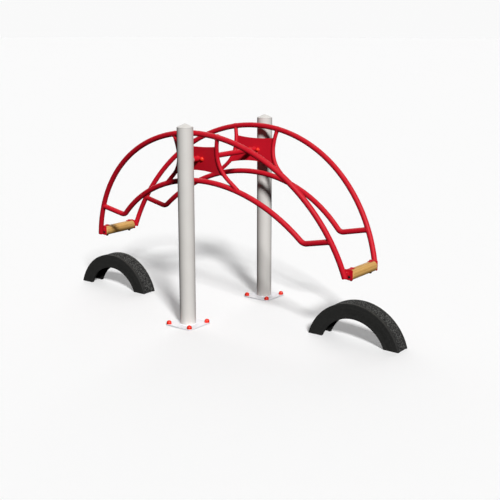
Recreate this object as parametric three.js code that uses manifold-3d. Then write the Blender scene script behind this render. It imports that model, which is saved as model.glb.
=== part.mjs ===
// Playground seesaw: a beam made of two leaning arched tube frames, carried on an axle between two posts.
// Units are millimetres. +Z is up, X runs along the beam, Y runs along the axle.
// The origin is on the ground, midway between the posts.
import * as THREE from 'three';
import { mergeVertices } from 'three/addons/utils/BufferGeometryUtils.js';
import Module from 'manifold-3d';

// ---- driving dimensions ----
const GAP = 0.3;                 // clearance kept between touching pieces
const TUBE_FIT = 2.5 * GAP;      // extra diameter cut away where one faceted tube passes another
const TUBE_D = 42.4;             // main frame tube
const STRUT_D = 32;              // small curved struts
const LEAN = THREE.MathUtils.degToRad(10);   // each frame leans outwards at the top
const APEX_Z = 1486;             // height of the arch's top, on the tube's centre line
const APEX_Y = 387.5;            // distance of the arch's top from the middle plane
const PIVOT_Z = 1290;            // height of the axle

const ARCH_R = 1282;             // upper arch, centre line
const ARCH_HALF_ANGLE = THREE.MathUtils.degToRad(76.7);
const LOWER_R = 1256;            // lower arch, centre line
const LOWER_DROP = 380;          // lower arch's top below the upper arch's top
const HANDLE_END_X = 1148;       // where the handle meets the upper arch
const HANDLE_END_H = -719.5;
const HANDLE_RISE = THREE.MathUtils.degToRad(12);
const BEND_R = 60;               // bend between lower arch and handle

const STRUT_WAIST_X = 193;       // narrowest place between the two struts
const STRUT_WAIST_H = -165;
const STRUT_TOP_H = -16;         // start of the strut's centre line, inside the upper arch
const STRUT_TOP_R = 460;
const STRUT_FOOT_R = 250;
const STRUT_FOOT_ANGLE = THREE.MathUtils.degToRad(48);
const STRUT_TAIL = 100;          // straight run into the lower arch

const PLATE_T = 8;               // hub plate
const PLATE_TOP_SIDE = -84;
const PLATE_TOP_MIDDLE = -105;
const PLATE_FOOT_SIDE = -326;
const PLATE_FOOT_MIDDLE = -292;
const PLATE_HALF_W = STRUT_WAIST_X + 60;     // half the blank's width, before the struts trim it
const HUB_BOLT_X = 42;
const HUB_BOLT_D = 12;
const HUB_CAP_D = 32;
const HUB_CAP_H = 16;

const AXLE_WALL = 5;
const AXLE_END_Y = 486;
const AXLE_BORE_CLEARANCE = 0.4; // between the axle and its bearing, on the radius

const POST_SPACING = 1000;
const POST_D = 125;
const POST_WALL = 4;
const POST_TOP = 1538;
const POST_HOLE_D = 50;          // hole for the axle, on the inner side only
const POST_CAP_H = 32;
const POST_CAP_SKIRT = 30;
const POST_CAP_WALL = 4;
const POST_CAP_EDGE = 6;         // upright rim below the cone, with its small chamfer
const BEARING_H = 110;
const BEARING_END_PLAY = 3;
const SEAL_D = 56;
const SEAL_OUT = 7;              // how far the axle seal stands out of the post
const SEAL_LIP = 2;

const BASE_SIDE = 250;
const BASE_T = 10;
const BASE_CORNER_R = 16;
const ANCHOR_OFFSET = 105;       // anchor bolts lie on a square of twice this side
const ANCHOR_D = 16;
const ANCHOR_TOP = 31;
const NUT_ACROSS = 24;
const NUT_H = 13;
const DOME_D = 40;
const DOME_H = 28;
const DOME_WALL = 4;
const DOME_STRAIGHT = 11;        // upright part of the cap below its dome

const LOG_D = 82;
const LOG_LENGTH = 350;
const LOG_X = 1254;
const LOG_Z = 531;
const LOG_ROUND = 9;
const BRACKET_T = 5;
const END_PLATE_W = 72;          // plate against the log's end
const END_PLATE_TOP = 43;        // heights about the log's axis
const END_PLATE_FOOT = -34;
const END_PLATE_CORNER_R = 8;
const TONGUE_W = 28;             // tongue over the log's end, bent to the log's curve
const TONGUE_END_Y = 112;
const SPACER_W = 30;             // block between the end plate and the arch
const SPACER_TOP = 26;
const SPACER_FOOT = 2;
const SPACER_X = 1243;
const SPACER_REACH = 6;          // how far the block runs past the arch's centre line
const SEAT_BOLT_Y = 137;
const SEAT_BOLT_D = 10;
const SEAT_HEAD_D = 22;          // round head on the tongue
const SEAT_HEAD_H = 5;
const SEAT_NUT_ACROSS = 19;      // nut below the log
const SEAT_NUT_H = 8;
const SEAT_BOLT_STUB = 3;        // thread below the nut
const END_SCREW_X = 10;          // place of the end screw on its plate, from the log's axis
const END_SCREW_H = -10;
const END_SCREW_D = 8;
const END_SCREW_HEAD_D = 18;
const END_SCREW_HEAD_H = 6;
const END_SCREW_LENGTH = 30;     // inside the log

const TYRE_X = 1249;
const TYRE_Y = -28;
const TYRE_R = 402;
const TYRE_BEAD_R = 287;
const TYRE_W = 141;
const TYRE_WALL = 16;
const TYRE_CORNER = 6;           // chamfer between sidewall and tread
const TYRE_BEAD_W = 22;
const TYRE_BEAD_H = 14;
const TYRE_CENTRE_Z = -109;      // centre of the buried tyre, below the ground

// ---- how finely round things are divided ----
const TUBE_SIDES = 12;
const STRUT_SIDES = 10;
const POST_SIDES = 36;
const AXLE_SIDES = 24;
const LOG_SIDES = 28;
const TYRE_SIDES = 64;
const CAP_SIDES = 16;
const BOLT_SIDES = 12;

// ---- finishes ----
function finish(color, roughness, metalness) {
  return new THREE.MeshStandardMaterial({ color, roughness, metalness });
}

const red = () => finish('#c31b2b', 0.38, 0.1);
const capRed = () => finish('#e8251c', 0.3, 0);
const greyCoat = () => finish('#d0cecb', 0.5, 0.1);
const plateGrey = () => finish('#dedee3', 0.5, 0.1);
const steel = () => finish('#9a9b9c', 0.4, 0.9);
const black = () => finish('#1b1b1c', 0.5, 0.4);
const wood = () => finish('#c99b55', 0.7, 0);
const rubber = () => finish('#2b2b29', 0.9, 0);
const nylon = () => finish('#3a3a3c', 0.6, 0);

// ---- booleans ----
const wasm = await Module();
wasm.setup();

function solid(geometry) {
  const bare = geometry.clone();
  bare.deleteAttribute('normal');
  bare.deleteAttribute('uv');
  const merged = mergeVertices(bare, 1e-3);
  return new wasm.Manifold(new wasm.Mesh({
    numProp: 3,
    vertProperties: new Float32Array(merged.attributes.position.array),
    triVerts: new Uint32Array(merged.index.array),
  }));
}

function geometryOf(body) {
  const mesh = body.getMesh();
  const geometry = new THREE.BufferGeometry();
  geometry.setAttribute('position', new THREE.BufferAttribute(new Float32Array(mesh.vertProperties), 3));
  geometry.setIndex(new THREE.BufferAttribute(new Uint32Array(mesh.triVerts), 1));
  geometry.computeVertexNormals();
  return geometry;
}

function cut(geometry, ...cutters) {
  let body = solid(geometry);
  for (const cutter of cutters) body = body.subtract(solid(cutter));
  return geometryOf(body);
}

function join(first, ...others) {
  let body = solid(first);
  for (const other of others) body = body.add(solid(other));
  return geometryOf(body);
}

// ---- shape helpers ----
function disc(radius, sides) {
  const shape = new THREE.Shape();
  for (let i = 0; i < sides; i += 1) {
    const a = (i / sides) * 2 * Math.PI;
    const place = [radius * Math.cos(a), radius * Math.sin(a)];
    if (i === 0) shape.moveTo(...place);
    else shape.lineTo(...place);
  }
  shape.closePath();
  return shape;
}

// A cylinder standing along Z, its foot at z = from.
function rod(diameter, from, to, sides) {
  return new THREE.CylinderGeometry(diameter / 2, diameter / 2, to - from, sides)
    .rotateX(Math.PI / 2)
    .translate(0, 0, (from + to) / 2);
}

// The same cylinder lying along Y.
function rodAlongY(diameter, from, to, sides) {
  return new THREE.CylinderGeometry(diameter / 2, diameter / 2, to - from, sides)
    .translate(0, (from + to) / 2, 0);
}

function turned(profile, sides) {
  const points = profile.map(([r, z]) => new THREE.Vector2(r, z));
  return new THREE.LatheGeometry(points, sides).rotateX(Math.PI / 2);
}

// A flat plate: its outline lies in X and Z, and its thickness is centred on Y = 0.
function plateXZ(shape, thickness, curveSegments = 8) {
  return new THREE.ExtrudeGeometry(shape, { depth: thickness, bevelEnabled: false, curveSegments })
    .rotateX(Math.PI / 2)
    .translate(0, thickness / 2, 0);
}

// A route in the X-Z plane made of stretches, each with its own number of steps.
class Route extends THREE.Curve {
  constructor(stretches) {
    super();
    this.stretches = stretches;
    this.steps = stretches.reduce((sum, stretch) => sum + stretch.steps, 0);
  }

  getPoint(t) {
    let at = t * this.steps;
    for (const stretch of this.stretches) {
      if (at <= stretch.steps + 1e-9) return stretch.point(at / stretch.steps);
      at -= stretch.steps;
    }
    return this.stretches.at(-1).point(1);
  }

  getPointAt(u) {
    return this.getPoint(u);
  }

  getTangentAt(u) {
    return this.getTangent(u);
  }
}

// An arc about (cx, cz): the angle is measured from straight up, towards +X.
function arcStretch(cx, cz, radius, from, to, steps) {
  return {
    steps,
    point: (t) => {
      const a = from + (to - from) * t;
      return new THREE.Vector3(cx + radius * Math.sin(a), 0, cz + radius * Math.cos(a));
    },
  };
}

function lineStretch(start, end, steps = 1) {
  return { steps, point: (t) => start.clone().lerp(end, t) };
}

function tubeAlong(route, diameter, sides) {
  const settings = { steps: route.steps, extrudePath: route, bevelEnabled: false };
  return new THREE.ExtrudeGeometry(disc(diameter / 2, sides), settings);
}

const hexRadius = (acrossFlats) => acrossFlats / Math.sqrt(3);

// A rectangle with round corners, centred on x = 0 between the heights foot and top.
function roundedRectangle(width, foot, top, radius) {
  const half = width / 2 - radius;
  const low = foot + radius;
  const high = top - radius;
  const quarter = Math.PI / 2;
  const shape = new THREE.Shape();
  shape.absarc(half, high, radius, 0, quarter, false);
  shape.absarc(-half, high, radius, quarter, 2 * quarter, false);
  shape.absarc(-half, low, radius, 2 * quarter, 3 * quarter, false);
  shape.absarc(half, low, radius, 3 * quarter, 4 * quarter, false);
  shape.closePath();
  return shape;
}

function piece(name, geometry, material) {
  const mesh = new THREE.Mesh(geometry, material);
  mesh.name = name;
  return mesh;
}

// ---- routes of the frame's tubes, in the frame's own plane ----
function archRoute(halfAngle) {
  return new Route([arcStretch(0, -ARCH_R, ARCH_R, -halfAngle, halfAngle, 52)]);
}

// The lower arch runs into a bend and then a straight handle at each end.
function lowerRoute() {
  const centreH = -LOWER_DROP - LOWER_R;
  const handleDir = new THREE.Vector2(Math.cos(HANDLE_RISE), Math.sin(HANDLE_RISE));
  const handleNormal = new THREE.Vector2(-handleDir.y, handleDir.x);
  // The bend's centre lies BEND_R above the handle's line and BEND_R outside the arch's circle.
  const reach = LOWER_R + BEND_R;
  const anchor = new THREE.Vector2(HANDLE_END_X, HANDLE_END_H - centreH)
    .addScaledVector(handleNormal, BEND_R);
  const along = anchor.dot(handleDir);
  const off = anchor.dot(handleNormal);
  const bend = handleDir.clone().multiplyScalar(Math.sqrt(reach * reach - off * off))
    .addScaledVector(handleNormal, off);
  const archAngle = Math.atan2(bend.x, bend.y);
  const handleStart = bend.clone().addScaledVector(handleNormal, -BEND_R);
  const handleEnd = handleStart.clone().addScaledVector(handleDir, along - bend.dot(handleDir));
  const right = (p) => new THREE.Vector3(p.x, 0, p.y + centreH);
  const left = (p) => new THREE.Vector3(-p.x, 0, p.y + centreH);
  const bendFrom = Math.PI + archAngle;
  const bendTo = Math.PI - HANDLE_RISE;
  const bendH = bend.y + centreH;
  return new Route([
    lineStretch(left(handleEnd), left(handleStart), 2),
    arcStretch(-bend.x, bendH, BEND_R, -bendTo, -bendFrom, 6),
    arcStretch(0, centreH, LOWER_R, -archAngle, archAngle, 40),
    arcStretch(bend.x, bendH, BEND_R, bendFrom, bendTo, 6),
    lineStretch(right(handleStart), right(handleEnd), 2),
  ]);
}

// A strut bows in to its waist and flares out to its foot. side is +1 or -1.
function strutRoute(side) {
  const topAngle = Math.asin((STRUT_TOP_H - STRUT_WAIST_H) / STRUT_TOP_R);
  const topCentre = STRUT_WAIST_X + STRUT_TOP_R;
  const footCentre = STRUT_WAIST_X + STRUT_FOOT_R;
  const quarter = Math.PI / 2;
  const footEnd = new THREE.Vector3(
    footCentre - STRUT_FOOT_R * Math.cos(STRUT_FOOT_ANGLE), 0,
    STRUT_WAIST_H - STRUT_FOOT_R * Math.sin(STRUT_FOOT_ANGLE));
  const tail = footEnd.clone().add(new THREE.Vector3(
    Math.sin(STRUT_FOOT_ANGLE), 0, -Math.cos(STRUT_FOOT_ANGLE)).multiplyScalar(STRUT_TAIL));
  const mirrored = (p) => new THREE.Vector3(side * p.x, 0, p.z);
  const stretches = [
    arcStretch(topCentre, STRUT_WAIST_H, STRUT_TOP_R, -quarter + topAngle, -quarter, 5),
    arcStretch(footCentre, STRUT_WAIST_H, STRUT_FOOT_R, -quarter, -quarter - STRUT_FOOT_ANGLE, 6),
    lineStretch(footEnd, tail, 2),
  ];
  return new Route(stretches.map(({ steps, point }) => ({ steps, point: (t) => mirrored(point(t)) })));
}

const lowerTubeRoute = lowerRoute();
const strutRoutes = { left: strutRoute(-1), right: strutRoute(1) };
// The fat tubes cut room for the arches and struts out of the pieces that meet them.
const fatArch = tubeAlong(archRoute(ARCH_HALF_ANGLE + GAP / ARCH_R), TUBE_D + TUBE_FIT, TUBE_SIDES);
const fatLower = tubeAlong(lowerTubeRoute, TUBE_D + TUBE_FIT, TUBE_SIDES);
const fatStruts = Object.values(strutRoutes)
  .map((route) => tubeAlong(route, STRUT_D + TUBE_FIT, STRUT_SIDES));

const PIVOT_H = -(APEX_Z - PIVOT_Z) / Math.cos(LEAN);
const sides = { front: -1, rear: 1 };
const ends = { left: -1, right: 1 };

// ---- frame pieces ----
function hubPlateShape() {
  const shape = new THREE.Shape();
  shape.moveTo(-PLATE_HALF_W, PLATE_TOP_SIDE);
  shape.quadraticCurveTo(0, 2 * PLATE_TOP_MIDDLE - PLATE_TOP_SIDE, PLATE_HALF_W, PLATE_TOP_SIDE);
  shape.lineTo(PLATE_HALF_W, PLATE_FOOT_SIDE);
  shape.quadraticCurveTo(0, 2 * PLATE_FOOT_MIDDLE - PLATE_FOOT_SIDE, -PLATE_HALF_W, PLATE_FOOT_SIDE);
  shape.closePath();
  return shape;
}

// Everything outside the two struts' centre lines, cut off the plate so that it ends on the struts.
function besideStrut(side) {
  const steps = 12;
  const line = [];
  for (let i = 0; i <= steps; i += 1) line.push(strutRoutes.right.getPoint(i / steps));
  const shape = new THREE.Shape();
  shape.moveTo(side * line[0].x, 0);
  for (const p of line) shape.lineTo(side * p.x, p.z);
  const far = side * 3 * PLATE_HALF_W;
  shape.lineTo(far, line.at(-1).z);
  shape.lineTo(far, 0);
  shape.closePath();
  return plateXZ(shape, 8 * PLATE_T);
}

// The axle's line seen from a frame that leans: frame coordinates, the hole runs along the world's Y.
function axleThroughFrame(side, diameter) {
  const reach = 3 * TUBE_D;
  return rodAlongY(diameter, -reach, reach, AXLE_SIDES).rotateX(side * LEAN).translate(0, 0, PIVOT_H);
}

function hubPlate(side) {
  const holes = Object.values(ends)
    .map((end) => rodAlongY(HUB_BOLT_D + 2 * GAP, -2 * PLATE_T, 2 * PLATE_T, BOLT_SIDES)
      .translate(end * HUB_BOLT_X, 0, PIVOT_H));
  return cut(plateXZ(hubPlateShape(), PLATE_T), besideStrut(1), besideStrut(-1), ...fatStruts,
    axleThroughFrame(side, TUBE_D + TUBE_FIT), ...holes);
}

// Points of a dome's outline, from its rim (first) to its top (last), above the height z0.
function domeProfile(radius, height, z0, steps = 5) {
  const points = [];
  for (let i = steps; i >= 0; i -= 1) {
    const a = (i / steps) * (Math.PI / 2);
    points.push([radius * Math.sin(a), z0 + height * Math.cos(a)]);
  }
  return points;
}

// A through bolt with a domed head on each face of the hub plate.
function hubBolt() {
  const face = PLATE_T / 2 + GAP;
  const upper = domeProfile(HUB_CAP_D / 2, HUB_CAP_H, face);
  const lower = upper.map(([r, z]) => [r, -z]).reverse();
  const profile = [...lower, [HUB_BOLT_D / 2, -face], [HUB_BOLT_D / 2, face], ...upper];
  return turned(profile, CAP_SIDES).rotateX(Math.PI / 2);
}

function strutGeometry(end) {
  return cut(tubeAlong(strutRoutes[end], STRUT_D, STRUT_SIDES), fatArch, fatLower);
}

// ---- the two leaning frames ----
function frameGroup(place) {
  const side = sides[place];
  const group = new THREE.Group();
  group.position.set(0, side * APEX_Y, APEX_Z - PIVOT_Z);
  group.rotation.x = -side * LEAN;
  const upper = tubeAlong(archRoute(ARCH_HALF_ANGLE), TUBE_D, TUBE_SIDES);
  const lower = cut(tubeAlong(lowerTubeRoute, TUBE_D, TUBE_SIDES), fatArch);
  group.add(piece(`${place}_upper_arch`, upper, red()));
  group.add(piece(`${place}_lower_arch`, lower, red()));
  group.add(piece(`${place}_hub_plate`, hubPlate(side), red()));
  for (const [end, sign] of Object.entries(ends)) {
    group.add(piece(`${place}_strut_${end}`, strutGeometry(end), red()));
    const bolt = piece(`${place}_hub_bolt_${end}`, hubBolt(), capRed());
    bolt.position.set(sign * HUB_BOLT_X, 0, PIVOT_H);
    group.add(bolt);
  }
  return group;
}

// ---- seats: a log held at each end by an angle bracket on the arch's end ----
const seatZ = LOG_Z - PIVOT_Z;
const logEnd = LOG_LENGTH / 2;
const tongueInner = LOG_D / 2 + GAP;
const tongueOuter = tongueInner + BRACKET_T;

// The hole for the end screw, about the log's axis; its place follows the screw's.
function endScrewHole(side) {
  const from = logEnd - END_SCREW_LENGTH - GAP;
  const hole = rodAlongY(END_SCREW_D + 2 * GAP, from, logEnd + 4 * BRACKET_T, BOLT_SIDES);
  if (side < 0) hole.rotateZ(Math.PI);
  return hole.translate(-side * END_SCREW_X, 0, END_SCREW_H);
}

function seatBoltHole(side) {
  const reach = 2 * LOG_D;
  return rod(SEAT_BOLT_D + 2 * GAP, -reach, reach, BOLT_SIDES).translate(0, side * SEAT_BOLT_Y, 0);
}

function logGeometry() {
  const r = LOG_D / 2;
  const steps = 3;
  const upper = [];
  for (let i = steps; i >= 0; i -= 1) {
    const a = (i / steps) * (Math.PI / 2);
    upper.push([r - LOG_ROUND + LOG_ROUND * Math.sin(a), logEnd - LOG_ROUND + LOG_ROUND * Math.cos(a)]);
  }
  const lower = upper.map(([x, y]) => [x, -y]).reverse();
  const profile = [[0, -logEnd], ...lower, ...upper, [0, logEnd]];
  const holes = Object.values(sides)
    .flatMap((side) => [seatBoltHole(side), endScrewHole(side)]);
  return cut(turned(profile, LOG_SIDES).rotateX(Math.PI / 2), ...holes);
}

// The tongue's section: a stretch of a ring on top of the log.
function tongueSection() {
  const half = Math.asin(TONGUE_W / 2 / tongueOuter);
  const middle = Math.PI / 2;
  const shape = new THREE.Shape();
  shape.absarc(0, 0, tongueOuter, middle - half, middle + half, false);
  shape.absarc(0, 0, tongueInner, middle + half, middle - half, true);
  shape.closePath();
  return shape;
}

// Moves a plate made by plateXZ, which is centred on Y = 0, to lie between two places along Y.
function between(shape, from, to) {
  return plateXZ(shape, to - from, 6).translate(0, (from + to) / 2, 0);
}

// y grows outwards, towards the arch, and is turned round for the front bracket by side.
function bracketGeometry(side, end) {
  const web = logEnd + GAP;
  const back = web + BRACKET_T;
  const archY = APEX_Y - (APEX_Z - LOG_Z) * Math.tan(LEAN);
  const plate = roundedRectangle(END_PLATE_W, END_PLATE_FOOT, END_PLATE_TOP, END_PLATE_CORNER_R);
  const spacer = roundedRectangle(SPACER_W, SPACER_FOOT, SPACER_TOP, 1);
  const outwards = (geometry) => (side > 0 ? geometry : geometry.rotateZ(Math.PI));
  const body = join(
    outwards(between(plate, web, back)),
    outwards(between(tongueSection(), TONGUE_END_Y, back)),
    outwards(between(spacer, back - 1, archY + SPACER_REACH)).translate(end * (SPACER_X - LOG_X), 0, 0),
  );
  const arch = fatArch.clone()
    .rotateX(-side * LEAN)
    .translate(-end * LOG_X, side * APEX_Y, APEX_Z - LOG_Z);
  return cut(body, seatBoltHole(side), endScrewHole(side), arch);
}

// A bolt through the tongue and the log, its round head on top and a nut below.
function seatBolt() {
  const r = SEAT_BOLT_D / 2;
  const nutTop = -LOG_D / 2 - GAP;
  const tip = nutTop - SEAT_NUT_H - SEAT_BOLT_STUB;
  const face = tongueOuter + GAP;
  const head = domeProfile(SEAT_HEAD_D / 2, SEAT_HEAD_H, face, 4);
  const nutR = hexRadius(SEAT_NUT_ACROSS);
  const nut = new THREE.CylinderGeometry(nutR, nutR, SEAT_NUT_H, 6)
    .rotateX(Math.PI / 2)
    .translate(0, 0, nutTop - SEAT_NUT_H / 2);
  return join(turned([[0, tip], [r, tip], [r, face], ...head], BOLT_SIDES), nut);
}

// A round-headed screw driven through the end plate into the log's end, pointing along -Y.
function endScrew() {
  const face = logEnd + GAP + BRACKET_T + GAP;
  const head = domeProfile(END_SCREW_HEAD_D / 2, END_SCREW_HEAD_H, face, 4);
  const shank = [[0, logEnd - END_SCREW_LENGTH], [END_SCREW_D / 2, logEnd - END_SCREW_LENGTH]];
  return turned([...shank, [END_SCREW_D / 2, face], ...head], BOLT_SIDES).rotateX(-Math.PI / 2);
}

function seatGroup(endName) {
  const end = ends[endName];
  const group = new THREE.Group();
  group.position.set(end * LOG_X, 0, seatZ);
  group.add(piece(`${endName}_seat_log`, logGeometry(), wood()));
  for (const [place, side] of Object.entries(sides)) {
    const bolt = piece(`${place}_seat_bolt_${endName}`, seatBolt(), black());
    const screw = piece(`${place}_end_screw_${endName}`, endScrew(), black());
    bolt.position.y = side * SEAT_BOLT_Y;
    screw.position.set(-side * END_SCREW_X, 0, END_SCREW_H);
    if (side < 0) screw.rotation.z = Math.PI;
    group.add(piece(`${place}_seat_bracket_${endName}`, bracketGeometry(side, end), red()), bolt, screw);
  }
  return group;
}

// ---- beam ----
function axleTube() {
  const outer = TUBE_D / 2;
  const inner = outer - AXLE_WALL;
  const end = AXLE_END_Y;
  return turned([[inner, -end], [outer, -end], [outer, end], [inner, end], [inner, -end]], AXLE_SIDES)
    .rotateX(Math.PI / 2);
}

const beam = new THREE.Group();
beam.position.z = PIVOT_Z;
beam.add(frameGroup('front'), frameGroup('rear'));
beam.add(piece('axle_tube', axleTube(), red()));
beam.add(seatGroup('left'), seatGroup('right'));

// ---- posts ----
const boreD = TUBE_D + 2 * AXLE_BORE_CLEARANCE;

function postTube(side) {
  const outer = POST_D / 2;
  const inner = outer - POST_WALL;
  const foot = BASE_T + GAP;
  const profile = [[inner, foot], [outer, foot], [outer, POST_TOP], [inner, POST_TOP], [inner, foot]];
  const hole = rodAlongY(POST_HOLE_D, 0, POST_D, AXLE_SIDES).translate(0, 0, PIVOT_Z);
  if (side > 0) hole.rotateZ(Math.PI);
  return cut(turned(profile, POST_SIDES), hole);
}

function postCap() {
  const outer = POST_D / 2;
  const skirt = outer - POST_WALL - GAP;
  const foot = POST_TOP + GAP;
  const inner = skirt - POST_CAP_WALL;
  const skirtFoot = foot - POST_CAP_SKIRT;
  const tip = POST_TOP + POST_CAP_H;
  const rim = foot + POST_CAP_EDGE;
  return turned([
    [0, foot], [inner, foot], [inner, skirtFoot], [skirt, skirtFoot], [skirt, foot],
    [outer, foot], [outer, rim - 2], [outer - 3, rim], [4, tip - 1], [0, tip],
  ], POST_SIDES);
}

// A nylon plug inside the post with a blind bore for the axle, open towards the middle.
function axleBearing(side) {
  const r = POST_D / 2 - POST_WALL - GAP;
  const boreEnd = AXLE_END_Y + BEARING_END_PLAY - POST_SPACING / 2;
  const bore = rodAlongY(boreD, -POST_D, boreEnd, AXLE_SIDES);
  if (side < 0) bore.rotateZ(Math.PI);
  return cut(rod(2 * r, -BEARING_H / 2, BEARING_H / 2, POST_SIDES), bore);
}

function axleSeal(side) {
  const outer = SEAL_D / 2;
  const inner = boreD / 2 + AXLE_BORE_CLEARANCE;
  const face = POST_D / 2 + SEAL_OUT;
  const lip = face + SEAL_LIP;
  const profile = [[inner, 0], [outer, 0], [outer, face], [outer - SEAL_LIP, lip], [inner, lip], [inner, 0]];
  const ring = turned(profile, AXLE_SIDES).rotateX(side > 0 ? Math.PI / 2 : -Math.PI / 2);
  return cut(ring, rod(POST_D + 2 * GAP, -SEAL_D, SEAL_D, POST_SIDES));
}

const anchorPlaces = [[-1, -1], [1, -1], [1, 1], [-1, 1]];

function basePlate() {
  const shape = roundedRectangle(BASE_SIDE, -BASE_SIDE / 2, BASE_SIDE / 2, BASE_CORNER_R);
  for (const [x, y] of anchorPlaces) {
    const hole = new THREE.Path();
    hole.absarc(x * ANCHOR_OFFSET, y * ANCHOR_OFFSET, ANCHOR_D / 2 + 1, 0, 2 * Math.PI, true);
    shape.holes.push(hole);
  }
  return new THREE.ExtrudeGeometry(shape, { depth: BASE_T, bevelEnabled: false, curveSegments: 5 });
}

// Anchor stud with its nut, level with the ground at its foot.
function anchorBolt() {
  const r = hexRadius(NUT_ACROSS);
  const nut = new THREE.CylinderGeometry(r, r, NUT_H, 6)
    .rotateX(Math.PI / 2)
    .translate(0, 0, BASE_T + GAP + NUT_H / 2);
  return join(nut, rod(ANCHOR_D, 0, ANCHOR_TOP, BOLT_SIDES));
}

// Hollow domed cap over an anchor bolt's nut.
function domeCap() {
  const foot = BASE_T + GAP;
  const r = DOME_D / 2;
  const spring = foot + DOME_STRAIGHT;
  const outside = domeProfile(r, DOME_H - DOME_STRAIGHT, spring);
  const inside = domeProfile(r - DOME_WALL, DOME_H - DOME_STRAIGHT - DOME_WALL, spring, 4).reverse();
  return turned([...inside, [r - DOME_WALL, foot], [r, foot], ...outside], CAP_SIDES);
}

function postGroup(place) {
  const side = sides[place];
  const group = new THREE.Group();
  group.position.y = side * POST_SPACING / 2;
  group.add(piece(`${place}_base_plate`, basePlate(), plateGrey()));
  group.add(piece(`${place}_post`, postTube(side), greyCoat()));
  group.add(piece(`${place}_post_cap`, postCap(), greyCoat()));
  const bearing = piece(`${place}_axle_bearing`, axleBearing(side), nylon());
  const seal = piece(`${place}_axle_seal`, axleSeal(side), greyCoat());
  bearing.position.z = PIVOT_Z;
  seal.position.z = PIVOT_Z;
  group.add(bearing, seal);
  anchorPlaces.forEach(([x, y], i) => {
    const bolt = piece(`${place}_anchor_bolt_${i + 1}`, anchorBolt(), steel());
    const cap = piece(`${place}_bolt_cap_${i + 1}`, domeCap(), capRed());
    bolt.position.set(x * ANCHOR_OFFSET, y * ANCHOR_OFFSET, 0);
    cap.position.set(x * ANCHOR_OFFSET, y * ANCHOR_OFFSET, 0);
    group.add(bolt, cap);
  });
  return group;
}

// ---- half-buried tyres under the seats ----
function tyreGeometry() {
  const half = TYRE_W / 2;
  const bead = TYRE_BEAD_R;
  const corner = TYRE_R - TYRE_CORNER;
  const roof = TYRE_R - TYRE_WALL;
  const beadTop = bead + TYRE_BEAD_H;
  // The section's first number is the radius, the second the place across the tyre.
  const nearSide = [
    [bead, half - TYRE_BEAD_W], [bead, half], [corner, half], [TYRE_R, half - TYRE_CORNER],
  ];
  const farSide = nearSide.map(([r, y]) => [r, -y]).reverse();
  const inside = [
    [beadTop, -half + TYRE_BEAD_W], [beadTop + TYRE_CORNER, -half + TYRE_WALL], [roof, -half + TYRE_WALL],
    [roof, half - TYRE_WALL], [beadTop + TYRE_CORNER, half - TYRE_WALL], [beadTop, half - TYRE_BEAD_W],
  ];
  const loop = [...nearSide, ...farSide, ...inside, nearSide[0]].reverse();
  const full = new THREE.LatheGeometry(loop.map(([r, y]) => new THREE.Vector2(r, y)), TYRE_SIDES);
  const block = 3 * TYRE_R;
  const ground = new THREE.BoxGeometry(block, block, block).translate(0, 0, -block / 2);
  return cut(full.translate(0, 0, TYRE_CENTRE_Z), ground);
}

const stand = new THREE.Group();
stand.add(postGroup('front'), postGroup('rear'));
for (const [end, sign] of Object.entries(ends)) {
  const tyre = piece(`${end}_tyre`, tyreGeometry(), rubber());
  tyre.position.set(sign * TYRE_X, TYRE_Y, 0);
  stand.add(tyre);
}

const seesaw = new THREE.Group();
seesaw.add(stand, beam);

export default seesaw;
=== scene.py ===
import math

import bmesh
import bpy
from mathutils import Matrix, Vector, noise


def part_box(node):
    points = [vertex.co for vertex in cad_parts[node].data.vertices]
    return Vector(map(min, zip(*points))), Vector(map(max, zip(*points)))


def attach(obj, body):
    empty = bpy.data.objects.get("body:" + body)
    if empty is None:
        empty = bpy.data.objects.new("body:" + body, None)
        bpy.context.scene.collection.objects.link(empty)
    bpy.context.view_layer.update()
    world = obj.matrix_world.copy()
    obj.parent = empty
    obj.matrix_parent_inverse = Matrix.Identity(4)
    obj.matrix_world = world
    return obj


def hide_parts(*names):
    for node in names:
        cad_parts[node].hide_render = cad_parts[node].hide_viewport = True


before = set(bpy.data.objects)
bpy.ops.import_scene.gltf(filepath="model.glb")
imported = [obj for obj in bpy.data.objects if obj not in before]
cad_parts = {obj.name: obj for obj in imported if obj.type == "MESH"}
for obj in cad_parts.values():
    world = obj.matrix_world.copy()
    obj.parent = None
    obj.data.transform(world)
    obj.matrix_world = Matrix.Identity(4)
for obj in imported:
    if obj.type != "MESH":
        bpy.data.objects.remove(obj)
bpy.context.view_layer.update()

# ---- driving dimensions, in metres, the same as the structure's own ----
LEAN = math.radians(10)            # each frame leans outwards at the top
APEX_Y = 0.3875
APEX_Z = 1.486
PIVOT_Z = 1.290
TUBE_R = 0.0212
STRUT_R = 0.016
ARCH_R = 1.282
ARCH_HALF_ANGLE = math.radians(76.7)
LOWER_R = 1.256
LOWER_DROP = 0.380
HANDLE_END_X = 1.148
HANDLE_END_H = -0.7195
HANDLE_RISE = math.radians(12)
BEND_R = 0.060
STRUT_WAIST_X = 0.193
STRUT_WAIST_H = -0.165
STRUT_TOP_R = 0.460
STRUT_FOOT_R = 0.250
STRUT_FOOT_ANGLE = math.radians(48)
STRUT_TAIL = 0.100
PLATE_HALF_T = 0.004
PLATE_TOP_SIDE = -0.084
PLATE_TOP_MIDDLE = -0.105
PLATE_FOOT_SIDE = -0.326
PLATE_FOOT_MIDDLE = -0.292
HUB_BOLT_X = 0.042
TYRE_X = 1.249
TYRE_Y = -0.028
TYRE_R = 0.402
TYRE_BEAD_R = 0.287
TYRE_HALF_W = 0.0705
TYRE_CENTRE_Z = -0.109
PIVOT_H = -(APEX_Z - PIVOT_Z) / math.cos(LEAN)
CLEARANCE = 0.0003                 # between two pieces that lie against each other

SIDES = {"front": -1, "rear": 1}
ENDS = {"left": -1, "right": 1}


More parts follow.
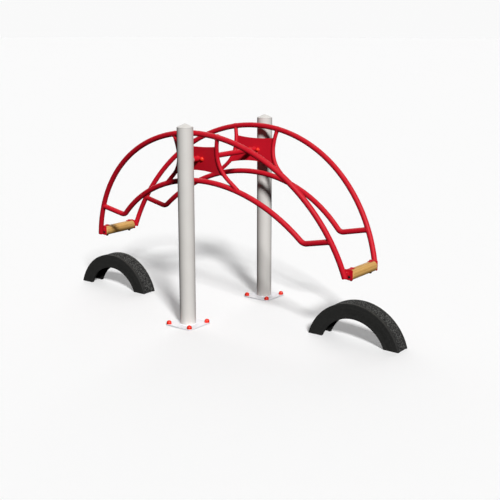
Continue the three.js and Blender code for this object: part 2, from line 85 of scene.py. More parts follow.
# ---- shader helpers ----
def node(tree, kind, inputs=None, **settings):
    made = tree.nodes.new("ShaderNode" + kind)
    for key, value in settings.items():
        setattr(made, key, value)
    for name, value in (inputs or {}).items():
        socket = made.inputs[name]
        if isinstance(value, bpy.types.NodeSocket):
            tree.links.new(value, socket)
        else:
            socket.default_value = value
    return made


def math_node(tree, operation, first, second=0.0, clamp=False):
    made = node(tree, "Math", {0: first, 1: second}, operation=operation, use_clamp=clamp)
    return made.outputs[0]


def product(tree, first, second):
    return math_node(tree, "MULTIPLY", first, second)


def ramp(tree, factor, low, high, to_low=0.0, to_high=1.0):
    made = node(tree, "MapRange", {
        "Value": factor, "From Min": low, "From Max": high, "To Min": to_low, "To Max": to_high,
    }, interpolation_type="SMOOTHSTEP")
    return made.outputs["Result"]


def noise_value(tree, place, scale, detail=2.0, roughness=0.5):
    made = node(tree, "TexNoise", {
        "Vector": place, "Scale": scale, "Detail": detail, "Roughness": roughness,
    })
    return made.outputs["Fac"]


def mix_colour(tree, factor, first, second, blend="MIX"):
    made = node(tree, "Mix", data_type="RGBA", blend_type=blend)
    for index, value in ((0, factor), (6, first), (7, second)):
        if isinstance(value, bpy.types.NodeSocket):
            tree.links.new(value, made.inputs[index])
        else:
            made.inputs[index].default_value = value
    return made.outputs[2]


def colour(r, g, b):
    return (r, g, b, 1.0)


def grey(value):
    return colour(value, value, value)


def new_group(name, inputs, outputs):
    tree = bpy.data.node_groups.new(name, "ShaderNodeTree")
    for label, kind, value in inputs:
        socket = tree.interface.new_socket(name=label, in_out="INPUT", socket_type=kind)
        socket.default_value = value
    for label, kind in outputs:
        tree.interface.new_socket(name=label, in_out="OUTPUT", socket_type=kind)
    return tree, tree.nodes.new("NodeGroupInput").outputs, tree.nodes.new("NodeGroupOutput").inputs


FLOAT = "NodeSocketFloat"
COLOUR = "NodeSocketColor"
VECTOR = "NodeSocketVector"


def object_place(tree):
    return node(tree, "TexCoord").outputs["Object"]


def surface_normal(tree):
    normal = node(tree, "NewGeometry").outputs["Normal"]
    return node(tree, "SeparateXYZ", {0: normal}).outputs


def coat_grain_group():
    """Orange peel and a faint cloudiness of a sprayed or moulded surface."""
    tree, given, out = new_group("coat_grain", [
        ("Color", COLOUR, grey(0.5)), ("Tone Spread", FLOAT, 0.05),
        ("Peel Scale", FLOAT, 500.0), ("Roughness", FLOAT, 0.4), ("Roughness Spread", FLOAT, 0.1),
    ], [("Color", COLOUR), ("Roughness", FLOAT), ("Height", FLOAT)])
    place = object_place(tree)
    cloud = noise_value(tree, place, scale=7.0, detail=5.0, roughness=0.6)
    swing = math_node(tree, "SUBTRACT", cloud, 0.5)
    shift = product(tree, swing, given["Tone Spread"])
    tone = math_node(tree, "ADD", shift, 1.0)
    tint = node(tree, "CombineColor", {"Red": tone, "Green": tone, "Blue": tone})
    shaded = mix_colour(tree, 1.0, given["Color"], tint.outputs["Color"], "MULTIPLY")
    rough = product(tree, swing, given["Roughness Spread"])
    tree.links.new(shaded, out["Color"])
    tree.links.new(math_node(tree, "ADD", rough, given["Roughness"], clamp=True), out["Roughness"])
    tree.links.new(noise_value(tree, place, given["Peel Scale"]), out["Height"])
    return tree


def settled_dust_group():
    """Mask of the dust that lies on what faces up, in patches."""
    tree, given, out = new_group("settled_dust", [
        ("Amount", FLOAT, 0.3), ("Patch Scale", FLOAT, 30.0),
    ], [("Mask", FLOAT)])
    patches = noise_value(tree, object_place(tree), given["Patch Scale"], detail=6.0, roughness=0.7)
    facing_up = ramp(tree, surface_normal(tree)["Z"], 0.3, 1.0)
    lying = product(tree, facing_up, ramp(tree, patches, 0.35, 0.75))
    tree.links.new(product(tree, lying, given["Amount"]), out["Mask"])
    return tree


def worn_edges_group():
    """Mask of the rubbed edges: where the rounded normal leaves the flat one."""
    tree, given, out = new_group("worn_edges", [
        ("Radius", FLOAT, 0.002), ("Amount", FLOAT, 0.5), ("Break Up Scale", FLOAT, 120.0),
    ], [("Mask", FLOAT)])
    rounded = node(tree, "Bevel", {"Radius": given["Radius"]}, samples=4).outputs["Normal"]
    flat = node(tree, "NewGeometry").outputs["Normal"]
    agreement = node(tree, "VectorMath", {0: rounded, 1: flat}, operation="DOT_PRODUCT")
    edge = ramp(tree, agreement.outputs["Value"], 0.98, 0.80)
    broken = noise_value(tree, object_place(tree), given["Break Up Scale"], detail=4.0)
    chips = product(tree, edge, ramp(tree, broken, 0.42, 0.62))
    tree.links.new(product(tree, chips, given["Amount"]), out["Mask"])
    return tree


def rain_streaks_group():
    """Mask of faint runs that rain leaves down an upright surface."""
    tree, given, out = new_group("rain_streaks", [
        ("Amount", FLOAT, 0.3), ("Width", FLOAT, 60.0),
    ], [("Mask", FLOAT)])
    place = object_place(tree)
    drawn_down = node(tree, "Mapping", {"Vector": place, "Scale": (1.0, 1.0, 0.03)}).outputs[0]
    thin = ramp(tree, noise_value(tree, drawn_down, given["Width"], detail=3.0), 0.5, 0.72)
    wide = ramp(tree, noise_value(tree, place, scale=3.0), 0.4, 0.65)
    tree.links.new(product(tree, product(tree, thin, wide), given["Amount"]), out["Mask"])
    return tree


def timber_figure_group():
    """Growth rings, fibres and end checks of a round log whose grain runs along Y."""
    tree, given, out = new_group("timber_figure", [
        ("Centre", VECTOR, (0.0, 0.0, 0.0)), ("Light Wood", COLOUR, colour(0.7, 0.45, 0.15)),
        ("Dark Wood", COLOUR, colour(0.4, 0.2, 0.06)), ("Ring Scale", FLOAT, 80.0),
    ], [("Color", COLOUR), ("Roughness", FLOAT), ("Height", FLOAT)])
    place = object_place(tree)
    from_centre = node(tree, "VectorMath", {0: place, 1: given["Centre"]}, operation="SUBTRACT")
    local = from_centre.outputs["Vector"]
    pith = node(tree, "Mapping", {
        "Vector": local, "Location": (0.006, 0.0, -0.009), "Scale": (1.0, 0.10, 1.0),
    })
    rings = node(tree, "TexWave", {
        "Vector": pith.outputs[0], "Scale": given["Ring Scale"], "Distortion": 3.0, "Detail": 3.0,
        "Detail Scale": 0.7, "Detail Roughness": 0.6,
    }, wave_type="RINGS", rings_direction="Y", wave_profile="SAW")
    grain = node(tree, "Mapping", {"Vector": local, "Scale": (1.0, 0.035, 1.0)}).outputs[0]
    fibres = ramp(tree, noise_value(tree, grain, scale=420.0, detail=4.0, roughness=0.65), 0.35, 0.7)
    patches = ramp(tree, noise_value(tree, grain, scale=60.0), 0.35, 0.7)
    ring = product(tree, rings.outputs["Fac"], 0.50)
    lined = math_node(tree, "ADD", ring, product(tree, fibres, 0.34))
    shade = math_node(tree, "ADD", lined, product(tree, patches, 0.22), clamp=True)
    across = node(tree, "SeparateXYZ", {0: local}).outputs
    angle = math_node(tree, "ARCTAN2", across["X"], across["Z"])
    turn = node(tree, "CombineXYZ", {"X": angle, "Y": across["Y"]}).outputs[0]
    split = math_node(tree, "SUBTRACT", noise_value(tree, turn, scale=2.3, detail=1.0), 0.5)
    line = ramp(tree, math_node(tree, "ABSOLUTE", split), 0.012, 0.0)
    end_face = ramp(tree, math_node(tree, "ABSOLUTE", surface_normal(tree)["Y"]), 0.6, 0.95)
    crack = product(tree, line, end_face)
    tone = mix_colour(tree, shade, given["Light Wood"], given["Dark Wood"])
    ends = mix_colour(tree, product(tree, end_face, 0.35), tone, given["Dark Wood"])
    tree.links.new(mix_colour(tree, crack, ends, colour(0.05, 0.025, 0.01)), out["Color"])
    tree.links.new(ramp(tree, shade, 0.0, 1.0, 0.52, 0.72), out["Roughness"])
    tree.links.new(math_node(tree, "SUBTRACT", product(tree, shade, -1.0), crack), out["Height"])
    return tree


def rubber_crumb_group():
    """Pitted rubber: coarse crumbs with a finer grain on them, and painted shade that darkens the pits."""
    tree, given, out = new_group("rubber_crumb", [
        ("Dark", COLOUR, grey(0.02)), ("Pale", COLOUR, grey(0.08)),
        ("Crumb Scale", FLOAT, 120.0), ("Contrast", FLOAT, 0.6),
    ], [("Color", COLOUR), ("Roughness", FLOAT), ("Height", FLOAT)])
    place = object_place(tree)
    crumbs = noise_value(tree, place, given["Crumb Scale"], detail=5.0, roughness=0.75)
    cells = node(tree, "TexVoronoi", {"Vector": place, "Scale": given["Crumb Scale"]})
    lump = product(tree, cells.outputs["Distance"], 0.5)
    height = math_node(tree, "SUBTRACT", crumbs, lump)
    # painted shade: the colour goes darker towards the low parts of the crumb relief, as shade in the pits
    pale = product(tree, ramp(tree, height, 0.20, 0.40), given["Contrast"])
    tree.links.new(mix_colour(tree, pale, given["Dark"], given["Pale"]), out["Color"])
    tree.links.new(ramp(tree, height, 0.0, 0.6, 0.72, 0.92), out["Roughness"])
    tree.links.new(height, out["Height"])
    return tree


COAT_GRAIN = coat_grain_group()
SETTLED_DUST = settled_dust_group()
WORN_EDGES = worn_edges_group()
RAIN_STREAKS = rain_streaks_group()
TIMBER_FIGURE = timber_figure_group()
RUBBER_CRUMB = rubber_crumb_group()


def place_group(tree, group, **values):
    made = tree.nodes.new("ShaderNodeGroup")
    made.node_tree = group
    for name, value in values.items():
        made.inputs[name.replace("_", " ").title()].default_value = value
    return made.outputs


def new_material(name):
    material = bpy.data.materials.new(name)
    material.use_nodes = True
    tree = material.node_tree
    tree.nodes.clear()
    return material, tree


def close_material(tree, base, roughness, height, bump_distance, bump_strength=1.0, **constants):
    """The bump, the shader and the output. The constants are set on the shader's own sockets."""
    bump = node(tree, "Bump", {
        "Height": height, "Distance": bump_distance, "Strength": bump_strength,
    })
    inputs = {"Base Color": base, "Roughness": roughness, "Normal": bump.outputs["Normal"]}
    inputs.update({key.replace("_", " "): value for key, value in constants.items()})
    shader = node(tree, "BsdfPrincipled", inputs)
    node(tree, "OutputMaterial", {"Surface": shader.outputs["BSDF"]})


DUST_COLOUR = colour(0.42, 0.36, 0.28)


def coated(name, base, worn, roughness, peel=420.0, wear=0.35, dust=0.12, streaks=0.0, **constants):
    """A sprayed coat on metal, or moulded plastic: peel, rubbed edges, a little dust and rain runs."""
    material, tree = new_material(name)
    coat = place_group(tree, COAT_GRAIN, color=base, tone_spread=0.10, peel_scale=peel, roughness=roughness,
                       roughness_spread=0.16)
    rubbed = place_group(tree, WORN_EDGES, radius=0.0018, amount=wear, break_up_scale=140.0)
    dusty = place_group(tree, SETTLED_DUST, amount=dust, patch_scale=26.0)
    runs = place_group(tree, RAIN_STREAKS, amount=streaks, width=70.0)
    tone = mix_colour(tree, rubbed["Mask"], coat["Color"], worn)
    tone = mix_colour(tree, runs["Mask"], tone, DUST_COLOUR)
    tone = mix_colour(tree, dusty["Mask"], tone, DUST_COLOUR)
    rough = math_node(tree, "ADD", coat["Roughness"], dusty["Mask"], clamp=True)
    close_material(tree, tone, rough, coat["Height"], 0.0002, **constants)
    return material


def timber(name, centre):
    """Bare pine with its pith near the log's own axis."""
    material, tree = new_material(name)
    wood = place_group(tree, TIMBER_FIGURE, centre=centre, light_wood=colour(0.73, 0.44, 0.145),
                       dark_wood=colour(0.47, 0.245, 0.062), ring_scale=62.0)
    dusty = place_group(tree, SETTLED_DUST, amount=0.10, patch_scale=40.0)
    tone = mix_colour(tree, dusty["Mask"], wood["Color"], DUST_COLOUR)
    close_material(tree, tone, wood["Roughness"], wood["Height"], 0.0006, 0.8)
    return material


def rubber(name, dark, pale, crumb_scale, contrast, depth, dust):
    material, tree = new_material(name)
    crumb = place_group(tree, RUBBER_CRUMB, dark=dark, pale=pale, crumb_scale=crumb_scale,
                        contrast=contrast)
    dusty = place_group(tree, SETTLED_DUST, amount=dust, patch_scale=60.0)
    tone = mix_colour(tree, dusty["Mask"], crumb["Color"], DUST_COLOUR)
    close_material(tree, tone, crumb["Roughness"], crumb["Height"], depth, Specular_IOR_Level=0.35)
    return material


RED_COAT = coated("red_powder_coat", colour(0.58, 0.0075, 0.021), colour(0.60, 0.04, 0.05), roughness=0.52,
                  Specular_IOR_Level=0.20)
CAP_RED = coated("bright_red_plastic", colour(0.86, 0.030, 0.012), colour(0.9, 0.12, 0.08), peel=900.0,
                 roughness=0.22, wear=0.2, dust=0.06)
POST_GREY = coated("light_grey_coat", colour(0.66, 0.64, 0.61), colour(0.75, 0.74, 0.72), roughness=0.46,
                   dust=0.10, streaks=0.10)
PLATE_PALE = coated("pale_plate_coat", colour(0.90, 0.90, 0.93), colour(0.60, 0.60, 0.62), roughness=0.5,
                    dust=0.14)
BOLT_BLACK = coated("black_fastener", grey(0.007), grey(0.05), roughness=0.5,
                    peel=1200.0, wear=0.5, dust=0.02, Specular_IOR_Level=0.3)
STEEL = coated("plated_steel", colour(0.55, 0.55, 0.56), grey(0.8), roughness=0.38, peel=1500.0,
               Metallic=1.0)
NYLON = coated("dark_nylon", colour(0.045, 0.045, 0.05), grey(0.12), roughness=0.6,
               peel=800.0)
# both rubbers carry painted shade in the pits of their crumb relief; contrast sets how much darker the pits
# are
SIDEWALL = rubber("tyre_sidewall", colour(0.017, 0.017, 0.016), colour(0.034, 0.034, 0.032),
                  crumb_scale=90.0, contrast=0.5, depth=0.0004, dust=0.08)
TREAD = rubber("tyre_tread", grey(0.006), colour(0.105, 0.105, 0.10),
               crumb_scale=105.0, contrast=1.0, depth=0.0045, dust=0.03)


# ---- mesh helpers ----
ORIGIN = Vector((0, 0, 0))
OUT = Vector((0, 1, 0))            # square to the frame's own plane, and the axle's direction in the row
UP = Vector((0, 0, 1))


def add_piece(name, verts, faces, materials, body, slot, replaces=(), sharp=35.0, face_slots=None):
    mesh = bpy.data.meshes.new(name)
    mesh.from_pydata([tuple(v) for v in verts], [], faces)
    for material in materials:
        mesh.materials.append(material)
    if face_slots:
        mesh.polygons.foreach_set("material_index", face_slots)
    return finish_piece(name, mesh, body, replaces, sharp)


def new_object(name, data):
    made = bpy.data.objects.new(name, data)
    bpy.context.scene.collection.objects.link(made)
    return made


def finish_piece(name, mesh, body, replaces=(), sharp=35.0):
    work = bmesh.new()
    work.from_mesh(mesh)
    bmesh.ops.recalc_face_normals(work, faces=work.faces)
    work.to_mesh(mesh)
    work.free()
    mesh.shade_smooth()
    mesh.set_sharp_from_angle(angle=math.radians(sharp))
    piece = new_object(name, mesh)
    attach(piece, body)
    if replaces:
        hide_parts(*replaces)
    return piece


def add_red_part(name, part, replaces=(), sharp=35.0):
    """A part of the painted frame, which swings with the beam."""
    return add_piece(name, *part, [RED_COAT], "beam", "red_frame", replaces, sharp)


def add_post_part(name, part, replaces, sharp=35.0):
    add_piece(name, *part, [POST_GREY], "stand", "post_grey", replaces, sharp)


def round_edges(piece, width):
    bevel = piece.modifiers.new("rounded_edges", "BEVEL")
    bevel.width = width
    bevel.segments = 3
    bevel.limit_method = "ANGLE"
    bevel.angle_limit = math.radians(35)
    bevel.harden_normals = True


def bridge(rows, sides, closed):
    """Faces between rings of the same number of points."""
    faces = []
    for i in range(rows if closed else rows - 1):
        j = (i + 1) % rows
        for k in range(sides):
            m = (k + 1) % sides
            faces.append((i * sides + k, i * sides + m, j * sides + m, j * sides + k))
    return faces


def sweep(points, radii, sides, up, closed=False):
    """A round tube along the points. up stays square to the route and sets where the ring starts."""
    count = len(points)
    verts = []
    for i, p in enumerate(points):
        before = points[(i - 1) % count] if closed or i > 0 else p
        after = points[(i + 1) % count] if closed or i < count - 1 else p
        along = (after - before).normalized()
        across = up.cross(along).normalized()
        above = along.cross(across)
        for k in range(sides):
            a = 2 * math.pi * k / sides
            verts.append(p + (across * math.cos(a) + above * math.sin(a)) * radii[i])
    faces = bridge(count, sides, closed)
    if not closed:
        faces.append(tuple(range(sides)))
        faces.append(tuple(range((count - 1) * sides, count * sides)))
    return verts, faces


def slab(near, far):
    """A closed solid between two outlines of the same number of points."""
    count = len(near)
    faces = [tuple(range(count)), tuple(range(2 * count - 1, count - 1, -1))]
    faces += [(i, (i + 1) % count, (i + 1) % count + count, i + count) for i in range(count)]
    return near + far, faces


def rounded_ends(points, radius, edge, steps=4):
    """Adds the small radius at a tube's cut ends. Gives the points and their radii."""
    route = list(points)
    radii = [radius] * len(route)
    for _ in range(2):
        tip = route[0]
        inward = (route[1] - tip).normalized()
        angles = [math.pi / 2 * j / steps for j in range(steps + 1)]
        route[0:1] = [tip + inward * edge * (1 - math.cos(a)) for a in angles]
        radii[0:1] = [radius - edge + edge * math.sin(a) for a in angles]
        route.reverse()
        radii.reverse()
    return route, radii


def lathe(profile, sides, centre=ORIGIN, axis="Z", wobble=None):
    """Turns (radius, height) points about an axis, Z or Y. The profile may start and end on the axis."""
    verts, rings = [], []
    for r, h in profile:
        if r < 1e-6:
            rings.append([len(verts)])
            verts.append(Vector((0, 0, h)))
            continue
        ring = []
        for k in range(sides):
            a = 2 * math.pi * k / sides
            reach = r + (wobble(a, h, r) if wobble else 0.0)
            ring.append(len(verts))
            verts.append(Vector((reach * math.cos(a), reach * math.sin(a), h)))
        rings.append(ring)
    faces = []
    for low, high in zip(rings, rings[1:]):
        for k in range(sides):
            m = (k + 1) % sides
            if len(low) == 1:
                faces.append((low[0], high[k], high[m]))
            elif len(high) == 1:
                faces.append((low[k], low[m], high[0]))
            else:
                faces.append((low[k], low[m], high[m], high[k]))
    turn = Matrix.Rotation(-math.pi / 2, 3, "X") if axis == "Y" else Matrix.Identity(3)
    return [centre + turn @ v for v in verts], faces


def joined(*parts):
    """One mesh from several lists of verts and faces."""
    verts, faces = [], []
    for more_verts, more_faces in parts:
        start = len(verts)
        verts.extend(more_verts)
        faces.extend(tuple(i + start for i in face) for face in more_faces)
    return verts, faces


def moved(matrix, part):
    verts, faces = part
    return [matrix @ v for v in verts], faces


def bead(points, radius, up, closed=True, ripple=0.14, pitch=0.0045):
    """A weld bead: a thin tube along the points whose size rises and falls with each drop."""
    length = sum((b - a).length for a, b in zip(points, points[1:]))
    drops = max(3, round(length / pitch))
    count = len(points)
    radii = [radius * (1 + ripple * math.cos(2 * math.pi * drops * i / count)) for i in range(count)]
    return sweep(points, radii, 10, up, closed)


# ---- the frame's own plane: x along the beam, h up the plane from the arch's top, out square to it ----
def frame_matrix(side):
    return Matrix.Translation((0, side * APEX_Y, APEX_Z)) @ Matrix.Rotation(-side * LEAN, 4, "X")


def arc(cx, cz, radius, start, stop, steps):
    """Points on a circle; the angle is measured from straight up towards +X."""
    made = []
    for i in range(steps + 1):
        a = start + (stop - start) * i / steps
        made.append(Vector((cx + radius * math.sin(a), 0, cz + radius * math.cos(a))))
    return made


def straight(start, stop, steps):
    return [start.lerp(stop, i / steps) for i in range(steps + 1)]


def chain(*stretches):
    made = list(stretches[0])
    for stretch in stretches[1:]:
        made.extend(stretch[1:])
    return made


def upper_route():
    return arc(0, -ARCH_R, ARCH_R, -ARCH_HALF_ANGLE, ARCH_HALF_ANGLE, 200)


def mirrored(points):
    return [Vector((-p.x, p.y, p.z)) for p in points]


LOWER_CENTRE_H = -LOWER_DROP - LOWER_R


def half_lower_route():
    """From the middle of the lower arch, round the bend and along the handle to the upper arch."""
    along = Vector((math.cos(HANDLE_RISE), 0, math.sin(HANDLE_RISE)))
    normal = Vector((-along.z, 0, along.x))
    reach = LOWER_R + BEND_R
    anchor = Vector((HANDLE_END_X, 0, HANDLE_END_H - LOWER_CENTRE_H)) + normal * BEND_R
    off = anchor.dot(normal)
    bend = along * math.sqrt(reach * reach - off * off) + normal * off
    arch_angle = math.atan2(bend.x, bend.z)
    handle_start = bend - normal * BEND_R
    handle_end = handle_start + along * (anchor.dot(along) - bend.dot(along))
    lift = Vector((0, 0, LOWER_CENTRE_H))
    return chain(
        arc(0, LOWER_CENTRE_H, LOWER_R, 0, arch_angle, 90),
        arc(bend.x, bend.z + LOWER_CENTRE_H, BEND_R, math.pi + arch_angle, math.pi - HANDLE_RISE, 18),
        straight(handle_start + lift, handle_end + lift, 60),
    )


def strut_route():
    """The right-hand strut from the upper arch down past the lower one."""
    quarter = math.pi / 2
    top_angle = math.asin(-STRUT_WAIST_H / STRUT_TOP_R)
    foot_centre = STRUT_WAIST_X + STRUT_FOOT_R
    foot_end = Vector((foot_centre - STRUT_FOOT_R * math.cos(STRUT_FOOT_ANGLE), 0,
                       STRUT_WAIST_H - STRUT_FOOT_R * math.sin(STRUT_FOOT_ANGLE)))
    tail = foot_end + Vector((math.sin(STRUT_FOOT_ANGLE), 0, -math.cos(STRUT_FOOT_ANGLE))) * STRUT_TAIL
    return chain(
        arc(STRUT_WAIST_X + STRUT_TOP_R, STRUT_WAIST_H, STRUT_TOP_R, -quarter + top_angle, -quarter, 60),
        arc(foot_centre, STRUT_WAIST_H, STRUT_FOOT_R, -quarter, -quarter - STRUT_FOOT_ANGLE, 60),
        straight(foot_end, tail, 60),
    )


def from_upper(p):
    """Distance of a point from the upper arch's centre line."""
    return math.hypot(math.hypot(p.x, p.z + ARCH_R) - ARCH_R, p.y)


def from_lower(p):
    """Distance of a point from the lower arch's centre line."""
    return math.hypot(math.hypot(p.x, p.z - LOWER_CENTRE_H) - LOWER_R, p.y)


def joint_ring(route, radius, distance, other_radius, steps=72):
    """Where a tube that starts inside another one comes out of it, one point for each angle round it."""
    ring = []
    for k in range(steps):
        a = 2 * math.pi * k / steps
        last = None
        for before, after in zip(route, route[1:]):
            along = (after - before).normalized()
            across = OUT.cross(along).normalized()
            p = before + (across * math.cos(a) + OUT * math.sin(a)) * radius
            gap = distance(p) - other_radius
            if gap >= 0 and last is not None:
                share = last[1] / (last[1] - gap)
                ring.append(last[0].lerp(p, share))
                break
            if gap < 0:
                last = (p, gap)
    return ring


def trimmed(route, distance, inside):
    """Leaves out the points that lie deeper than inside in the other tube, at the route's start."""
    kept = list(route)
    while len(kept) > 2 and distance(kept[1]) < inside:
        kept.pop(0)
    return kept


def fine(points, step=0.0015):
    """The same route with points no further apart than about a step."""
    made = [points[0]]
    for a, b in zip(points, points[1:]):
        parts = max(1, round((b - a).length / step))
        made.extend(a.lerp(b, i / parts) for i in range(1, parts + 1))
    return made


UPPER = upper_route()
HALF_LOWER = half_lower_route()
RIGHT_STRUT = strut_route()
JOINT_DEPTH = 0.012                # how far a coped end runs inside the tube it is welded to


def strut_between():
    """The strut with both its ends just inside the arches."""
    from_top = trimmed(RIGHT_STRUT, from_upper, JOINT_DEPTH)
    kept = []
    for p in from_top:
        kept.append(p)
        if p.z < STRUT_WAIST_H and from_lower(p) < JOINT_DEPTH:
            break
    return kept


STRUT = strut_between()
HANDLE_FROM_END = list(reversed(HALF_LOWER))[:60]
LOWER = chain(reversed(mirrored(HALF_LOWER)), HALF_LOWER)

WELD_R = 0.0032
PLATE_WELD_R = WELD_R * 0.8
WELD_LIFT = 0.0004                 # the plate's beads stand this far off its faces
WELD_STEP = 0.0012


def joint_welds():
    """Rings round the tube joints in the right half of the frame, each with its tube's direction."""
    handle = joint_ring(fine(HANDLE_FROM_END), TUBE_R, from_upper, TUBE_R)
    top = joint_ring(fine(STRUT[:40]), STRUT_R, from_upper, TUBE_R)
    foot = joint_ring(fine(STRUT[:-51:-1]), STRUT_R, from_lower, TUBE_R)
    handle_axis = (HANDLE_FROM_END[1] - HANDLE_FROM_END[0]).normalized()
    top_axis = (STRUT[1] - STRUT[0]).normalized()
    foot_axis = (STRUT[-2] - STRUT[-1]).normalized()
    return [(handle, handle_axis), (top, top_axis), (foot, foot_axis)]


def plate_outline():
    """The right half of the hub plate, out to the strut's centre line: its top, its side and its foot."""
    half = STRUT_WAIST_X + 0.060

    def curve(x, middle, side):
        return middle + (side - middle) * (x / half) ** 2

    def stretch(reach, middle, side, steps=20):
        across = [reach * i / steps for i in range(steps + 1)]
        return [Vector((x, 0, curve(x, middle, side))) for x in across]

    right = [p for p in STRUT if curve(p.x, PLATE_FOOT_MIDDLE, PLATE_FOOT_SIDE) < p.z
             < curve(p.x, PLATE_TOP_MIDDLE, PLATE_TOP_SIDE)]
    top = stretch(right[0].x, PLATE_TOP_MIDDLE, PLATE_TOP_SIDE)
    foot = stretch(right[-1].x, PLATE_FOOT_MIDDLE, PLATE_FOOT_SIDE)
    return top, right, foot[::-1]


def plate_mesh():
    top, right, foot = plate_outline()
    half = top + right + foot
    outline = half + [p for p in mirrored(reversed(half)) if p.x < -1e-6]
    return slab([p + OUT * PLATE_HALF_T for p in outline], [p - OUT * PLATE_HALF_T for p in outline])


def plate_weld_lines():
    """Beads between the plate's faces and the right-hand strut."""
    _, right, _ = plate_outline()
    off = math.sqrt(STRUT_R ** 2 - PLATE_HALF_T ** 2)
    lines = []
    for face in (-1, 1):
        line = []
        for before, after in zip(right, right[1:]):
            along = (after - before).normalized()
            inward = OUT.cross(along).normalized()
            if inward.x > 0:
                inward.negate()
            line.append(before + inward * off + OUT * face * (PLATE_HALF_T + WELD_LIFT))
        lines.append(fine(line))
    return lines


JOINT_WELDS = joint_welds()
PLATE_WELDS = plate_weld_lines()


def axle_weld(side):
    """Closed rings where the axle meets the two faces of a leaning hub plate, in the row's own axes."""
    matrix = frame_matrix(side)
    normal = (matrix.to_3x3() @ OUT).normalized()
    origin = matrix.translation
    steps = 72
    rings = []
    for face in (-1, 1):
        ring = []
        for k in range(steps):
            a = 2 * math.pi * k / steps
            x, z = TUBE_R * math.cos(a), PIVOT_Z + TUBE_R * math.sin(a)
            y = origin.y + (face * PLATE_HALF_T - normal.z * (z - origin.z)) / normal.y
            ring.append(Vector((x, y, z)))
        rings.append(ring)
    return rings


def dome_profile(radius, height, rim, steps=10):
    """From the rim's foot at the plate up over a dome."""
    points = [(radius, 0.0), (radius, rim)]
    for i in range(1, steps + 1):
        a = i / steps * math.pi / 2
        points.append((radius * math.cos(a), rim + (height - rim) * math.sin(a)))
    points[-1] = (0.0, height)
    return points


WASHER_T = 0.0018
WASHER_EDGE = 0.0006


def washer(radius, sides, axis="Z"):
    profile = [(0, 0), (radius, 0), (radius, WASHER_T - WASHER_EDGE), (radius - WASHER_EDGE, WASHER_T),
               (0, WASHER_T)]
    return lathe(profile, sides, axis=axis)


def ring_bead(ring, axis):
    """A closed bead along a ring of points."""
    return bead(fine(ring + ring[:1], WELD_STEP)[:-1], WELD_R, axis)


TUBE_SIDES = 40
STRUT_SIDES = 32
HUB_CAP_R = 0.016
HUB_CAP_H = 0.016
HUB_CAP_RIM = 0.003
HUB_WASHER_R = 0.0175


def build_frame(place):
    side = SIDES[place]
    matrix = frame_matrix(side)
    route, radii = rounded_ends(UPPER, TUBE_R, 0.0025)
    upper = sweep(route, radii, TUBE_SIDES, OUT)
    lower = sweep(LOWER, [TUBE_R] * len(LOWER), TUBE_SIDES, OUT)
    add_red_part(f"{place}_upper_tube", moved(matrix, upper), [f"{place}_upper_arch"])
    add_red_part(f"{place}_lower_tube", moved(matrix, lower), [f"{place}_lower_arch"])
    sheet = moved(matrix, plate_mesh())
    plate = add_red_part(f"{place}_hub_sheet", sheet, [f"{place}_hub_plate"], sharp=30.0)
    round_edges(plate, 0.0015)
    seams = []
    for end_name, end in ENDS.items():
        at_end = list if end > 0 else mirrored
        strut = sweep(at_end(STRUT), [STRUT_R] * len(STRUT), STRUT_SIDES, OUT)
        add_red_part(f"{place}_{end_name}_curved_strut", moved(matrix, strut), [f"{place}_strut_{end_name}"])
        for ring, axis in JOINT_WELDS:
            seams.append(moved(matrix, ring_bead(at_end(ring), at_end([axis])[0])))
        for line in PLATE_WELDS:
            seams.append(moved(matrix, bead(at_end(line), PLATE_WELD_R, OUT, closed=False)))
    seams += [ring_bead(ring, OUT) for ring in axle_weld(side)]
    add_red_part(f"{place}_weld_beads", joined(*seams), sharp=80.0)
    for end_name, end in ENDS.items():
        build_hub_bolt(place, end_name, end, matrix)


def build_hub_bolt(place, end_name, end, matrix):
    """A domed cap on a washer, on each face of the hub plate."""
    centre = Vector((end * HUB_BOLT_X, 0, PIVOT_H))
    cap = joined(lathe(dome_profile(HUB_CAP_R, HUB_CAP_H, HUB_CAP_RIM), 40, axis="Y"),
                 washer(HUB_WASHER_R, 40, "Y"))
    caps = []
    for face in (-1, 1):
        shift = Matrix.Translation(centre + OUT * face * (PLATE_HALF_T + 0.0002))
        caps.append(moved(matrix @ shift @ Matrix.Scale(face, 4, OUT), cap))
    add_piece(f"{place}_{end_name}_domed_bolt", *joined(*caps), [CAP_RED], "beam", "red_cap",
              [f"{place}_hub_bolt_{end_name}"])


def build_axle():
    lo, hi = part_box("axle_tube")
    route = straight(Vector((0, lo.y, PIVOT_Z)), Vector((0, hi.y, PIVOT_Z)), 40)
    route, radii = rounded_ends(route, TUBE_R, 0.002)
    add_red_part("axle_bar", sweep(route, radii, 48, UP), ["axle_tube"])


# ---- seats ----
LOG_EDGE = 0.009                   # radius round each end of a log
LOG_SKIN = 0.0006                  # room for the uneven surface inside the log's own radius
CRACKS = ((0.6, -0.16, -0.02), (2.5, 0.02, 0.15), (4.4, -0.10, 0.13))    # angle, start and end along the log
CRACK_DEPTH = 0.0022
CRACK_WIDTH = 0.016                # as an angle


def log_wobble(seed):
    """How far a log's surface leaves a true cylinder: hollows, fine ridges and drying cracks."""
    def wobble(a, h, r):
        soft = noise.noise(Vector((math.cos(a) * 0.9, math.sin(a) * 0.9, h * 4.0 + seed * 7.3)))
        ridge = noise.noise(Vector((math.cos(a) * 9, math.sin(a) * 9, h * 3 + seed)))
        crack = 0.0
        for index, (angle, start, stop) in enumerate(CRACKS):
            swing = angle + seed * 0.9 + 0.05 * noise.noise(Vector((h * 14, index * 3.1, seed)))
            turn = (a - swing + math.pi) % (2 * math.pi) - math.pi
            middle = (start + stop) / 2
            half = (stop - start) / 2
            along = max(0.0, 1 - ((h - middle) / half) ** 2)
            crack += CRACK_DEPTH * along * math.exp(-(turn / CRACK_WIDTH) ** 2)
        return (soft * 0.0007 + ridge * 0.00025 - crack) * min(1.0, r / 0.03)
    return wobble


